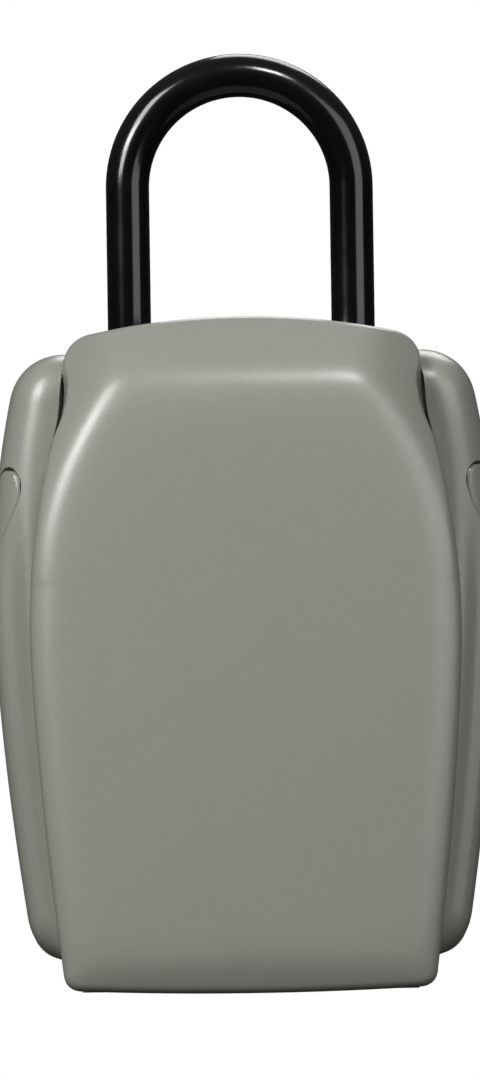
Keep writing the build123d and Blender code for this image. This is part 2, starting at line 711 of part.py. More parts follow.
with BuildPart() as back_plate_screws:
    for x, z in plate_screw_spots:
        post(screw_radius, x, (plate_front - 5, door_back - 1.0), z)
        post(screw_head_radius, x, (door_back - 1.0, door_back), z)
save(back_plate_screws, "back_plate_screws")

# ==== side buttons with their latch hooks ===============================================

with BuildPart() as right_button:
    add(button_prism((button_inner_x, body_width), 0))
    add(door_shell.part, mode=Mode.INTERSECT)
    block((flange_x[1], button_inner_x + 0.5), stem_y,
          (button_z - stem_half_height, button_z + stem_half_height))
save(right_button, "right_button")
save(mirrored(right_button), "left_button")

with BuildPart() as right_latch_hook:
    block(flange_x, (cavity_front + 0.3, plate_front - 0.4),
          (button_z - flange_half_height, button_z + flange_half_height))
    hook_z_range = (button_z - hook_half_height, button_z + hook_half_height)
    tooth_front = strike_y + strike_thickness + tooth_gap
    block((hook_outer_x - hook_thickness, flange_x[0]), hook_arm_y, hook_z_range)
    block((hook_outer_x - hook_thickness, hook_outer_x), (hook_arm_y[0], tooth_front + tooth_length),
          hook_z_range)
    block((hook_outer_x, hook_outer_x + tooth_height), (tooth_front, tooth_front + tooth_length),
          hook_z_range)
save(right_latch_hook, "right_latch_hook")
save(mirrored(right_latch_hook), "left_latch_hook")

with BuildPart() as right_button_spring:
    coil_x = (spring_rib_x[1] + button_press + 0.3, hook_outer_x - hook_thickness - 0.1)
    rod(spring_radius, coil_x, spring_y, button_z)
save(right_button_spring, "right_button_spring")
save(mirrored(right_button_spring), "left_button_spring")

# ==== code dials and reset gear ========================================================

for index, x in enumerate(dial_xs):
    with BuildPart() as dial_wheel:
        rod(dial_radius, (x - dial_width / 2, x + dial_width / 2), dial_y, dial_z)
        rod(shaft_radius + running_gap, (x - dial_width, x + dial_width), dial_y, dial_z,
            Mode.SUBTRACT)
        for face in range(faces_per_dial):
            turn = radians((face + 0.5) * 360 / faces_per_dial)
            rod(0.7, (x - dial_width / 2, x + dial_width / 2), dial_y - dial_radius * cos(turn),
                dial_z + dial_radius * sin(turn), Mode.SUBTRACT)
    save(dial_wheel, f"dial_wheel_{index + 1}")
    with BuildPart() as tumbler:
        tumbler_x = (x + dial_width / 2, x + dial_width / 2 + tumbler_width)
        rod(tumbler_radius, tumbler_x, dial_y, dial_z)
        rod(shaft_radius + running_gap, tumbler_x, dial_y, dial_z, Mode.SUBTRACT)
        gate_turn = radians(40 + 70 * index)
        rod(1.0, tumbler_x, dial_y + tumbler_radius * cos(gate_turn),
            dial_z + tumbler_radius * sin(gate_turn), Mode.SUBTRACT)
    save(tumbler, f"dial_tumbler_{index + 1}")

shaft_x = (-chassis_half - 2.4, chassis_half + 2.0)
with BuildPart() as dial_shaft:
    rod(shaft_radius, shaft_x, dial_y, dial_z)
    rod(1.2, (shaft_x[1], shaft_x[1] + 2.5), dial_y, dial_z)
save(dial_shaft, "dial_shaft")

with BuildPart() as shaft_return_spring:
    with BuildSketch(Plane.YZ.offset(shaft_x[1])):
        with Locations((dial_y, dial_z)):
            Circle(2.0)
            Circle(1.3, mode=Mode.SUBTRACT)
    extrude(amount=3.5)
save(shaft_return_spring, "shaft_return_spring")

with BuildPart() as reset_lever:
    arm_x = (shaft_x[0] - 1.8, shaft_x[0] - 0.2)
    lever_back = plate_front - 0.4
    block((arm_x[0], -4), (lever_back - lever_thickness, lever_back), lever_z)
    block(arm_x, (dial_y - 2.5, lever_back), (lever_z[0], dial_z + 2.5))
    block(lever_x, (lever_back, door_back + 3), (lever_z[0] + 2, lever_z[1] - 2))
save(reset_lever, "reset_lever")

# ==== weather cover, swings forward on the pin at its foot ==============================

with BuildPart() as cover_cavity:
    extrude(to_extrude=cover_outline(cover_rim + 1, -cover_wall), amount=front_reach)
    shave_front(lambda x, z: cover_front(x, z) + cover_wall, body_width / 2, (-6, body_height + 8))

scallop_radius = 19.5
scallop_reach = 1.5
scallop_z = body_height - 14.3

with BuildPart() as weather_cover:
    extrude(to_extrude=cover_outline(cover_rim, 0), amount=front_reach)
    shave_front(cover_front, body_width / 2, (-6, body_height + 8))
    add(cover_cavity.part, mode=Mode.SUBTRACT)
    inner_half = cover_half_width(0) - cover_wall - 0.3
    block((-inner_half, inner_half), (cover_hinge_y - knuckle_radius - 0.4, cover_rim + 1),
          (-3, cover_wall + 3), Mode.SUBTRACT)
    hinge_knuckles(outer_knuckle, cover_hinge_y,
                   (cover_hinge_y - knuckle_radius - 1.5, cover_hinge_y),
                   (hinge_z - knuckle_radius, hinge_z))
    rod(pin_radius + running_gap, (-outer_knuckle[1] - 0.2, outer_knuckle[1] + 0.2),
        cover_hinge_y, hinge_z, Mode.SUBTRACT)
    for side in (-1, 1):
        with Locations((side * (0.842 * cover_width / 2 - scallop_reach + scallop_radius), -14.0,
                        scallop_z)):
            Sphere(scallop_radius, mode=Mode.SUBTRACT)
save(weather_cover, "weather_cover")
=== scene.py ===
"""Looks of the key lock box: painted shells, coated shackle, dials and steel parts."""

import json
import math

import bmesh
import bpy
import numpy as np
from mathutils import Matrix, Vector


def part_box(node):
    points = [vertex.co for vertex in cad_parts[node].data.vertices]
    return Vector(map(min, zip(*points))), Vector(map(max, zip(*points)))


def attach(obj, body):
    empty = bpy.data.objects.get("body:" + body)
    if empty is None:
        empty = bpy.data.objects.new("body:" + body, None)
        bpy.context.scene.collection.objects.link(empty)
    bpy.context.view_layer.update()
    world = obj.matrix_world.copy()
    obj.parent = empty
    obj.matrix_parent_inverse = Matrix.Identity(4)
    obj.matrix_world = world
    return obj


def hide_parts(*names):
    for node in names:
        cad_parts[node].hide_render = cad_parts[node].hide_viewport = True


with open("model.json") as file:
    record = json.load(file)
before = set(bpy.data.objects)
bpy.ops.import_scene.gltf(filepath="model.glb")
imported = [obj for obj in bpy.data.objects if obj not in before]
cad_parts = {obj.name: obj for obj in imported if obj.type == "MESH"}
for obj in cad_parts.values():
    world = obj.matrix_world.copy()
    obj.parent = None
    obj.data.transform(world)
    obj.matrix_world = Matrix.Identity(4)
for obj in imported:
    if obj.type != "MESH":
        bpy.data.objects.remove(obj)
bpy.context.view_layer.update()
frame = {"nodes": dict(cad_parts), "record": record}

MM = 0.001

# ---- sizes in millimetres, read from the frame where it gives them
cover_low, cover_high = (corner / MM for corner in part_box("weather_cover"))
door_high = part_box("door_casing")[1] / MM
BODY_HEIGHT = cover_high.z
BODY_WIDTH = 2 * door_high.x
COVER_WIDTH = 2 * cover_high.x
FRONT_Y = cover_low.y
COVER_RIM_Y = cover_high.y
DECK_Y = COVER_RIM_Y + 0.3       # the cover's rim stands just clear of the door
DOOR_BACK_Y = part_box("door_back_plate")[1].y / MM
PLATE_LOW, PLATE_HIGH = (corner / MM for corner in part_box("door_back_plate"))
PLATE_GAP = 0.15
HINGE_Y = (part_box("cover_hinge_pin")[0].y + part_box("cover_hinge_pin")[1].y) / 2 / MM
HINGE_Z = (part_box("cover_hinge_pin")[0].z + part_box("cover_hinge_pin")[1].z) / 2 / MM
WELD = 0.000002                  # metres; corners nearer than this are one point

COVER_WALL = 2.0
COVER_MIDDLE_Z = 0.52 * BODY_HEIGHT
COVER_WIDEST_Z = 0.534 * BODY_HEIGHT
COVER_FOOT_TAPER, COVER_TOP_TAPER = 0.1465, 1.395
CROWNING_ACROSS, CROWNING_UP = 1.2, 0.8      # rise of the middle over the sides and ends
CROWNING_REACH = 0.45 * BODY_HEIGHT
CREASE_START_Z = 0.608 * BODY_HEIGHT
CREASE_INSET = 2.5               # straight part of the side creases, from the cover's edge
CREASE_START, CREASE_CURVE = 0.937, 3.89
SIDE_SLOPE, SIDE_BLEND = 1.25, 2.5
TOP_SLOPE, TOP_BLEND, TOP_CREASE_DROP = 1.15, 3.0, 12.3
FOOT_SLOPE, FOOT_BLEND, FOOT_CREASE_Z = 0.5, 0.8, 12
CORNER_BLEND = 3.0               # where a side crease meets the top one
EDGE_ROLL = 2.6
RIM_EDGE = 0.3                   # bevel of the cover's rim
CROWN_DROP, FOOT_RISE, HEEL_INSET = 3.0, 0.8, 3.0
NECK_SHARE = 0.842               # of the half width, where the finger scallops are

WING_FRONT_Y = -9.5
WING_FOOT = 6.2
WING_TOP = BODY_HEIGHT - 7.0
WING_WIDEST_Z = 0.593 * BODY_HEIGHT
WING_FOOT_TAPER, WING_TOP_TAPER = 7.5, 48.2
WING_ROLL = 9.5
ROUNDNESS = 2.4                  # 2 is a circle, more is fuller
WING_GAP = 0.15
VALLEY_INSET, VALLEY_DEPTH, VALLEY_WIDTH = 4.0, 1.8, 2.4
VALLEY_TOP_Z, VALLEY_FADE = 0.66 * BODY_HEIGHT, 6


# ---- curved fronts, after the CAD's formulas but with softer blends, over arrays of points

def soft_max(first, second, blend):
    """The larger of two values, with a rounded changeover."""
    return (first + second + np.sqrt((first - second) ** 2 + 4 * blend ** 2)) / 2


def cover_half_width(z):
    """Half the cover's width by height, widest just above the middle."""
    half, widest = COVER_WIDTH / 2, COVER_WIDEST_Z
    below = half * (1 - COVER_FOOT_TAPER * (np.maximum(widest - z, 0) / widest) ** 1.5)
    above = half * (1 - COVER_TOP_TAPER * ((z - widest) / BODY_HEIGHT) ** 2)
    return np.where(z < widest, below, above)


def cover_fall(x, z):
    """How far the cover's face falls back outside its creases."""
    half = COVER_WIDTH / 2
    rise = (z - CREASE_START_Z) / BODY_HEIGHT
    crease = np.where(z < CREASE_START_Z, cover_half_width(z) - CREASE_INSET,
                      half * CREASE_START - CREASE_CURVE * half * rise ** 2)
    sides = soft_max(0, SIDE_SLOPE * (np.abs(x) - crease), SIDE_BLEND)
    top = soft_max(0, TOP_SLOPE * (z - (BODY_HEIGHT - TOP_CREASE_DROP)), TOP_BLEND)
    foot = soft_max(0, FOOT_SLOPE * (FOOT_CREASE_Z - z), FOOT_BLEND)
    return soft_max(soft_max(sides, top, CORNER_BLEND), foot, FOOT_BLEND)


def cover_front(x, z):
    """Depth of the cover's face: a slightly crowned plateau inside its creases."""
    crowning = (CROWNING_ACROSS * (2 * x / COVER_WIDTH) ** 2
                + CROWNING_UP * ((z - COVER_MIDDLE_Z) / CROWNING_REACH) ** 2)
    return FRONT_Y + crowning + cover_fall(x, z) - cover_fall(0.0, COVER_MIDDLE_Z)


def wing_half_width(z):
    """Half the body's width over the wings, by height."""
    half, widest = BODY_WIDTH / 2, WING_WIDEST_Z
    below = half - WING_FOOT_TAPER * (np.maximum(widest - z, 0) / (widest - WING_FOOT)) ** 1.6
    above = half - WING_TOP_TAPER * ((z - widest) / BODY_HEIGHT) ** 2
    return np.where(z < widest, below, above)


def cubic(t, start, end, start_slope, end_slope, length=1.0):
    """Points at shares t of a cubic between two ends with given slopes."""
    return ((2 * t ** 3 - 3 * t ** 2 + 1) * start
            + (t ** 3 - 2 * t ** 2 + t) * length * start_slope
            + (3 * t ** 2 - 2 * t ** 3) * end
            + (t ** 3 - t ** 2) * length * end_slope)


def curve_through(points, count):
    """Evenly spread points on a smooth curve through a few given ones (cubic, end slopes free)."""
    points = np.array(points, float)
    steps = np.r_[0, np.cumsum(np.linalg.norm(np.diff(points, axis=0), axis=1))]
    slopes = np.gradient(points, steps, axis=0)
    at = np.linspace(0, steps[-1], count)
    span = np.clip(np.searchsorted(steps, at, side="right") - 1, 0, len(steps) - 2)
    length = (steps[span + 1] - steps[span])[:, None]
    t = (at - steps[span])[:, None] / length
    return cubic(t, points[span], points[span + 1], slopes[span], slopes[span + 1], length)


def corner_curve(start, end, start_way, end_way, count):
    """A rounded corner between two points with given directions."""
    start, end = np.array(start, float), np.array(end, float)
    reach = np.linalg.norm(end - start) * 1.25
    a, b = (np.array(way, float) / np.linalg.norm(way) * reach for way in (start_way, end_way))
    t = np.linspace(0, 1, count)[:, None]
    return cubic(t, start, end, a, b)


def resample(points, spacing):
    """The same line with evenly spaced points."""
    steps = np.r_[0, np.cumsum(np.linalg.norm(np.diff(points, axis=0), axis=1))]
    at = np.linspace(0, steps[-1], int(steps[-1] / spacing) + 1)
    return np.stack([np.interp(at, steps, points[:, axis]) for axis in (0, 1)], axis=1)


def cover_outline(spacing=0.7):
    """The cover's edge seen from the front, as a closed loop of (x, z) starting at the foot."""
    half = COVER_WIDTH / 2
    heel = (float(cover_half_width(np.array(0.0))) - HEEL_INSET, FOOT_RISE)
    levels = [4.0, 8, 14, 22, 30, 40, 50, 60, COVER_WIDEST_Z, 80, 0.64 * BODY_HEIGHT,
              0.71 * BODY_HEIGHT, 0.80 * BODY_HEIGHT]
    side = [(float(cover_half_width(np.array(z))), z) for z in levels]
    side += [(share * half, high * BODY_HEIGHT) for share, high in
             ((0.858, 0.849), (NECK_SHARE, 0.898), (0.832, 0.925))]
    shoulder = (0.686 * half, BODY_HEIGHT - CROWN_DROP)
    foot = np.array([(x, FOOT_RISE * (x / heel[0]) ** 2) for x in np.linspace(0, heel[0], 60)])
    turn = corner_curve(heel, side[0], (1, 0.05), (0.09, 1), 40)
    flank = curve_through(side, 400)
    corner = corner_curve(side[-1], shoulder, (-0.02, 1), (-1, 0.14), 60)
    crown = np.array([(x, BODY_HEIGHT - CROWN_DROP * (x / shoulder[0]) ** 2)
                      for x in np.linspace(shoulder[0], 0, 60)])
    right = resample(np.vstack([foot, turn[1:], flank[1:], corner[1:], crown[1:]]), spacing)
    left = right[-2:0:-1] * [-1, 1]
    return np.vstack([right, left])


def outward(loop):
    """Unit normals of a closed loop, pointing out."""
    along = np.roll(loop, -1, axis=0) - np.roll(loop, 1, axis=0)
    along /= np.linalg.norm(along, axis=1)[:, None]
    return np.stack([along[:, 1], -along[:, 0]], axis=1)


# ---- mesh building

def mesh_object(name, verts, faces, sharp=35):
    """A mesh object from points in millimetres, smooth except at edges sharper than an angle."""
    mesh = bpy.data.meshes.new(name)
    mesh.from_pydata([tuple(v) for v in np.asarray(verts) * MM], [], [tuple(f) for f in faces])
    mesh.validate()
    obj = bpy.data.objects.new(name, mesh)
    bpy.context.scene.collection.objects.link(obj)
    tidy_normals(obj, sharp)
    return obj


def tidy_normals(obj, sharp=35):
    """Consistent outward faces, shaded smooth below an angle."""
    shape = bmesh.new()
    shape.from_mesh(obj.data)
    bmesh.ops.recalc_face_normals(shape, faces=shape.faces)
    shape.to_mesh(obj.data)
    shape.free()
    obj.data.polygons.foreach_set("use_smooth", [True] * len(obj.data.polygons))
    obj.data.set_sharp_from_angle(angle=math.radians(sharp))


def ring_faces(ring_count, size, start=0):
    """Quads between neighbouring closed rings of equal size."""
    faces = []
    for ring in range(ring_count - 1):
        base = start + ring * size
        for i in range(size):
            j = (i + 1) % size
            faces.append((base + i, base + j, base + size + j, base + size + i))
    return faces


def boolean(obj, cutter, operation):
    """Apply a boolean and remove its cutter."""
    modifier = obj.modifiers.new("cut", "BOOLEAN")
    modifier.operation, modifier.object, modifier.solver = operation, cutter, "MANIFOLD"
    apply_modifiers(obj)
    bpy.data.objects.remove(cutter)


def apply_modifiers(obj):
    """Make an object's mesh what its modifiers show."""
    graph = bpy.context.evaluated_depsgraph_get()
    obj.data = bpy.data.meshes.new_from_object(obj.evaluated_get(graph))
    obj.modifiers.clear()


def box_mesh(name, low, high):
    """A box between two corners."""
    xs, ys, zs = zip(low, high)
    corners = [(x, y, z) for x in xs for y in ys for z in zs]
    faces = [(0, 1, 3, 2), (4, 6, 7, 5), (0, 4, 5, 1), (2, 3, 7, 6), (0, 2, 6, 4), (1, 5, 7, 3)]
    return mesh_object(name, corners, faces)


def prism_mesh(name, loop, y_front, y_back):
    """A closed loop of (x, z) made solid between two depths."""
    size = len(loop)
    verts = [(x, y, z) for y in (y_front, y_back) for x, z in loop]
    faces = ring_faces(2, size) + [tuple(range(size)), tuple(range(2 * size - 1, size - 1, -1))]
    return mesh_object(name, verts, faces)


# ---- materials

def material(name, colour, roughness, metallic=0.0):
    """A principled material, with its node tree and shader to add detail to."""
    result = bpy.data.materials.new(name)
    result.use_nodes = True
    shader = result.node_tree.nodes["Principled BSDF"]
    shader.inputs["Base Color"].default_value = (*colour, 1)
    shader.inputs["Roughness"].default_value = roughness
    shader.inputs["Metallic"].default_value = metallic
    return result, result.node_tree, shader


def add_noise(tree, scale, detail=3.0, roughness=0.55):
    """Noise in the piece's own space; scale is features per metre."""
    place = tree.nodes.new("ShaderNodeTexCoord")
    noise = tree.nodes.new("ShaderNodeTexNoise")
    noise.inputs["Scale"].default_value = scale
    noise.inputs["Detail"].default_value = detail
    noise.inputs["Roughness"].default_value = roughness
    tree.links.new(place.outputs["Object"], noise.inputs["Vector"])
    return noise


def vary(tree, source, low, high, target):
    """Drive a shader input from a noise, between two values."""
    spread = tree.nodes.new("ShaderNodeMapRange")
    spread.inputs["From Min"].default_value = 0.3
    spread.inputs["From Max"].default_value = 0.7
    spread.inputs["To Min"].default_value = low
    spread.inputs["To Max"].default_value = high
    tree.links.new(source.outputs["Fac"], spread.inputs["Value"])
    tree.links.new(spread.outputs["Result"], target)


def tint(tree, source, low, high, target):
    """Drive a colour input from a noise, between two colours."""
    ramp = tree.nodes.new("ShaderNodeValToRGB")
    ramp.color_ramp.elements[0].position = 0.35
    ramp.color_ramp.elements[1].position = 0.65
    ramp.color_ramp.elements[0].color = (*low, 1)
    ramp.color_ramp.elements[1].color = (*high, 1)
    tree.links.new(source.outputs["Fac"], ramp.inputs["Fac"])
    tree.links.new(ramp.outputs["Color"], target)


def add_bump(tree, shader, *layers):
    """Stack bump layers of (noise, strength, depth in metres)."""
    before = None
    for noise, strength, depth in layers:
        bump = tree.nodes.new("ShaderNodeBump")
        bump.inputs["Strength"].default_value = strength
        bump.inputs["Distance"].default_value = depth
        tree.links.new(noise.outputs["Fac"], bump.inputs["Height"])
        if before:
            tree.links.new(before.outputs["Normal"], bump.inputs["Normal"])
        before = bump
    tree.links.new(before.outputs["Normal"], shader.inputs["Normal"])


def scaled(colour, factor):
    """A colour made lighter or darker."""
    return tuple(part * factor for part in colour)


def painted_metal(name, colour):
    """Satin powder coat: fine sprayed grain, faint mottling."""
    result, tree, shader = material(name, colour, 0.42)
    grain = add_noise(tree, 2600, 2.0)
    mottle = add_noise(tree, 2000, 4.0, 0.7)
    cloud = add_noise(tree, 30, 2.0)
    tint(tree, mottle, scaled(colour, 0.96), scaled(colour, 1.04), shader.inputs["Base Color"])
    vary(tree, cloud, 0.30, 0.35, shader.inputs["Roughness"])
    add_bump(tree, shader, (grain, 0.35, 0.00006), (mottle, 0.25, 0.00008))
    shader.inputs["Coat Weight"].default_value = 0.45
    shader.inputs["Coat Roughness"].default_value = 0.28
    return result


def glossy_coat(name, colour):
    """Dipped vinyl: deep gloss with a faint orange peel."""
    result, tree, shader = material(name, colour, 0.16)
    peel = add_noise(tree, 220, 2.0)
    smear = add_noise(tree, 60, 3.0)
    tint(tree, smear, scaled(colour, 0.8), scaled(colour, 1.3), shader.inputs["Base Color"])
    vary(tree, smear, 0.12, 0.2, shader.inputs["Roughness"])
    add_bump(tree, shader, (peel, 0.25, 0.0001))
    shader.inputs["Coat Weight"].default_value = 0.15
    shader.inputs["Coat Roughness"].default_value = 0.06
    return result


def plated_steel(name, colour, low=0.33, high=0.39):
    """Plated or brushed steel: uneven sheen and fine drawing marks."""
    result, tree, shader = material(name, colour, 0.32, 1.0)
    marks = add_noise(tree, 1400, 3.0)
    cloud = add_noise(tree, 120, 4.0)
    tint(tree, cloud, scaled(colour, 0.95), scaled(colour, 1.04), shader.inputs["Base Color"])
    vary(tree, cloud, low, high, shader.inputs["Roughness"])
    add_bump(tree, shader, (marks, 0.2, 0.00002))
    return result


def moulded(name, colour, roughness, grain_depth=0.00005):
    """Moulded plastic or rubber with a fine tool texture."""
    result, tree, shader = material(name, colour, roughness)
    grain = add_noise(tree, 1800, 3.0)
    cloud = add_noise(tree, 90, 3.0)
    tint(tree, cloud, scaled(colour, 0.85), scaled(colour, 1.2), shader.inputs["Base Color"])
    vary(tree, cloud, roughness - 0.05, roughness + 0.07, shader.inputs["Roughness"])
    add_bump(tree, shader, (grain, 0.3, grain_depth))
    return result


GREY = (0.262, 0.264, 0.232)
finishes = {
    "grey_paint": painted_metal("grey_paint", GREY),
    "button_paint": painted_metal("button_paint", scaled(GREY, 0.97)),
    "black_coat": glossy_coat("black_coat", (0.0022, 0.0024, 0.0028)),
    "steel": plated_steel("steel", (0.56, 0.57, 0.58)),
    "spring_steel": plated_steel("spring_steel", (0.42, 0.43, 0.45), 0.24, 0.3),
    "dial_black": moulded("dial_black", (0.018, 0.018, 0.02), 0.5),
    "brass": plated_steel("brass", (0.72, 0.53, 0.24), 0.24, 0.36),
    "rubber": moulded("rubber", (0.016, 0.016, 0.017), 0.75, 0.0001),
}
slot_of = {part["node"]: part["material_slot"] for part in frame["record"]["subparts"]}
for name, node in frame["nodes"].items():
    node.data.materials.clear()
    node.data.materials.append(finishes[slot_of[name]])


def place(piece, body, slot_name, *nodes):
    """Give a new piece its finish, its body and the CAD nodes it stands for."""
    piece.data.materials.clear()
    piece.data.materials.append(finishes[slot_name])
    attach(piece, body)
    if nodes:
        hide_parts(*nodes)


def frame_body(node):
    """The body that carries a CAD node."""
    bodies = frame["record"]["behaviour"]["bodies"]
    return next(body for body, names in bodies.items() if node in names)


# ---- weather cover

SCALLOP_RADIUS = 19.5
SCALLOP_DEPTH = 1.5
SCALLOP_X = NECK_SHARE * COVER_WIDTH / 2 - SCALLOP_DEPTH + SCALLOP_RADIUS
SCALLOP_Y = -14.0
SCALLOP_Z = BODY_HEIGHT - 14.3
HINGE_NOTCH_HEIGHT, HINGE_NOTCH_GAP = 5, 3.0     # the rim stops short of the hinge at its foot
KNUCKLE_SPAN = (22.0, 30.0)      # along the pin, from the middle
KNUCKLE_RADIUS, KNUCKLE_BORE = 2.6, 1.25
ARM_FRONT, ARM_BACK, ARM_TOP = 4.1, 1.3, 0.4     # from the hinge's axis, forwards and down


def press_scallops(points):
    """Dish the finger grips into both sides of the cover."""
    for side in (-1, 1):
        across = (points[:, 1] - SCALLOP_Y) ** 2 + (points[:, 2] - SCALLOP_Z) ** 2
        wall = SCALLOP_X - np.sqrt(np.maximum(SCALLOP_RADIUS ** 2 - across, 0))
        inside = (across < SCALLOP_RADIUS ** 2) & (side * points[:, 0] > wall)
        points[inside, 0] = side * wall[inside]
    return points


def ring_at(flat, y):
    """A ring of points from a loop of (x, z) and its depths."""
    return np.column_stack([flat[:, 0], y, flat[:, 1]])


def cover_shell():
    """The cover as a closed shell: face, rolled edge, wall, rim and the same inside."""
    loop = cover_outline()
    normal = outward(loop)
    size = len(loop)
    centre = np.array([0.0, COVER_MIDDLE_Z])
    probe = loop - 0.4 * normal
    step = 0.2
    ahead, behind = probe + step * normal, probe - step * normal
    slope = np.maximum((cover_front(*ahead.T) - cover_front(*behind.T)) / (2 * step), 0)
    lean = np.arctan(slope)
    inset = EDGE_ROLL * (1 - np.sin(lean))
    base = loop - inset[:, None] * normal
    base_y = cover_front(*base.T)

    rings = []
    for share in np.linspace(0.01, 1, 100):
        flat = centre + (base - centre) * share
        rings.append(ring_at(flat, cover_front(*flat.T)))
    for part in np.linspace(0, 1, 9)[1:]:
        turn = lean + (math.pi / 2 - lean) * part
        out = EDGE_ROLL * (np.sin(turn) - np.sin(lean))
        back = EDGE_ROLL * (np.cos(lean) - np.cos(turn))
        rings.append(ring_at(base + out[:, None] * normal, base_y + back))
    edge_y = rings[-1][:, 1].copy()
    opening = cover_half_width(np.zeros(size)) - COVER_WALL - RIM_EDGE
    at_foot = (loop[:, 1] < HINGE_NOTCH_HEIGHT) & (np.abs(loop[:, 0]) < opening)
    rim_y = np.where(at_foot, HINGE_Y - HINGE_NOTCH_GAP, COVER_RIM_Y)
    for part in np.linspace(0, 1, 26)[1:]:
        rings.append(ring_at(loop, edge_y + (rim_y - RIM_EDGE - edge_y) * part))
    rings.append(ring_at(loop - RIM_EDGE * normal, rim_y))
    rings.append(ring_at(loop - (COVER_WALL - RIM_EDGE) * normal, rim_y))
    inner = loop - COVER_WALL * normal
    inner_y = cover_front(*inner.T) + COVER_WALL
    for part in np.linspace(0, 1, 24):
        rings.append(ring_at(inner, rim_y - RIM_EDGE + (inner_y - rim_y + RIM_EDGE) * part))
    for share in np.linspace(1, 0.02, 50)[1:]:
        flat = centre + (inner - centre) * share
        rings.append(ring_at(flat, cover_front(*flat.T) + COVER_WALL))

    verts = press_scallops(np.vstack(rings))
    faces = ring_faces(len(rings), size)
    faces.append(tuple(range(size)))
    last = (len(rings) - 1) * size
    faces.append(tuple(range(last + size - 1, last - 1, -1)))
    return mesh_object("cover_shell", verts, faces, 42)


def tube_along_x(name, radius, x_range, y, z, around=48, edge=0.3, bore=0.0):
    """A turned cylinder along X with softened ends, with a bore if it has one."""
    start, end = x_range
    inner = bore or 0.001
    profile = [(start, inner), (start, radius - edge), (start + edge, radius),
               (end - edge, radius), (end, radius - edge), (end, inner)]
    if bore:
        profile.append(profile[0])
    verts = []
    for x, r in profile:
        for i in range(around):
            turn = 2 * math.pi * i / around
            verts.append((x, y + r * math.cos(turn), z + r * math.sin(turn)))
    return mesh_object(name, verts, ring_faces(len(profile), around), 50)


def join(name, pieces):
    """One object from several."""
    main = pieces[0]
    shape = bmesh.new()
    for piece in pieces:
        shape.from_mesh(piece.data)
    shape.to_mesh(main.data)
    shape.free()
    for piece in pieces[1:]:
        bpy.data.objects.remove(piece)
    main.name = name
    main.data.set_sharp_from_angle(angle=math.radians(42))
    return main


cover = cover_shell()
place(cover, "weather_cover", "grey_paint", "weather_cover")
for side in (-1, 1):
    near, far = sorted(side * end for end in KNUCKLE_SPAN)
    knuckle = tube_along_x(f"cover_knuckle_{'left' if side < 0 else 'right'}", KNUCKLE_RADIUS,
                           (near, far), HINGE_Y, HINGE_Z, bore=KNUCKLE_BORE)
    arm = box_mesh("arm", (near, HINGE_Y - ARM_FRONT, HINGE_Z - KNUCKLE_RADIUS),
                   (far, HINGE_Y - ARM_BACK, HINGE_Z - ARM_TOP))
    knuckle = join(knuckle.name, [knuckle, arm])
    place(knuckle, "weather_cover", "grey_paint")


# ---- wings of the door

def wing_mesh(side):
    """One wing as a closed solid: rolled edges, shallow valley, straight inner wall."""
    across, along, round_roll = 60, 150, 27
    top, foot = WING_TOP, WING_FOOT
    edges = WING_ROLL * (1 - np.cos(np.linspace(0, math.pi / 2, 22)))
    straight = np.linspace(foot + WING_ROLL, top - WING_ROLL, along)[1:-1]
    levels = np.r_[foot + edges, straight, (top - edges)[::-1]]
    loop = cover_outline()
    right = loop[(loop[:, 0] > 20) & (loop[:, 1] > 2) & (loop[:, 1] < BODY_HEIGHT - 4)]
    order = np.argsort(right[:, 1])
    inner = np.interp(levels, right[order, 1], right[order, 0]) + WING_GAP
    rows = []
    for z, x_in in zip(levels, inner):
        rise = max(0, 1 - (top - z) / WING_ROLL, 1 - (z - foot) / WING_ROLL)
        reach = max(0, 1 - rise ** ROUNDNESS) ** (1 / ROUNDNESS)
        x_roll = float(wing_half_width(np.array(z))) - WING_ROLL
        flat = np.linspace(x_in, x_roll, across - round_roll + 1)[:-1]
        turn = np.sin(np.linspace(0, math.pi / 2, round_roll)) * reach
        x = np.r_[flat, x_roll + WING_ROLL * turn]
        tx = np.r_[np.zeros(len(flat)), turn]
        level = np.maximum(1 - tx ** ROUNDNESS - rise ** ROUNDNESS, 0)
        depth = WING_ROLL * (1 - level ** (1 / ROUNDNESS))
        valley_x = x_roll + WING_ROLL - VALLEY_INSET
        fade = 1 / (1 + math.exp((z - VALLEY_TOP_Z) / VALLEY_FADE))
        dip = np.exp(-((x - valley_x) / VALLEY_WIDTH) ** 2)
        valley = VALLEY_DEPTH * fade * dip * level ** 0.25
        rows.append(np.column_stack([x * side, WING_FRONT_Y + depth + valley, np.full(len(x), z)]))
    width = len(rows[0])
    verts = list(np.vstack(rows))
    faces = []
    for row in range(len(rows) - 1):
        for i in range(width - 1):
            a = row * width + i
            faces.append((a, a + 1, a + width + 1, a + width))
    count = len(rows)
    rim = (list(range(width)) + [row * width + width - 1 for row in range(1, count)]
           + [(count - 1) * width + i for i in range(width - 2, -1, -1)]
           + [row * width for row in range(count - 2, 0, -1)])
    start = len(verts)
    verts += [(verts[i][0], DOOR_BACK_Y, verts[i][2]) for i in rim]
    size = len(rim)
    faces += [(rim[i], rim[(i + 1) % size], start + (i + 1) % size, start + i) for i in range(size)]
    faces.append(tuple(range(start, start + size)))
    return mesh_object(f"wing_{'left' if side < 0 else 'right'}", verts, faces, 40)


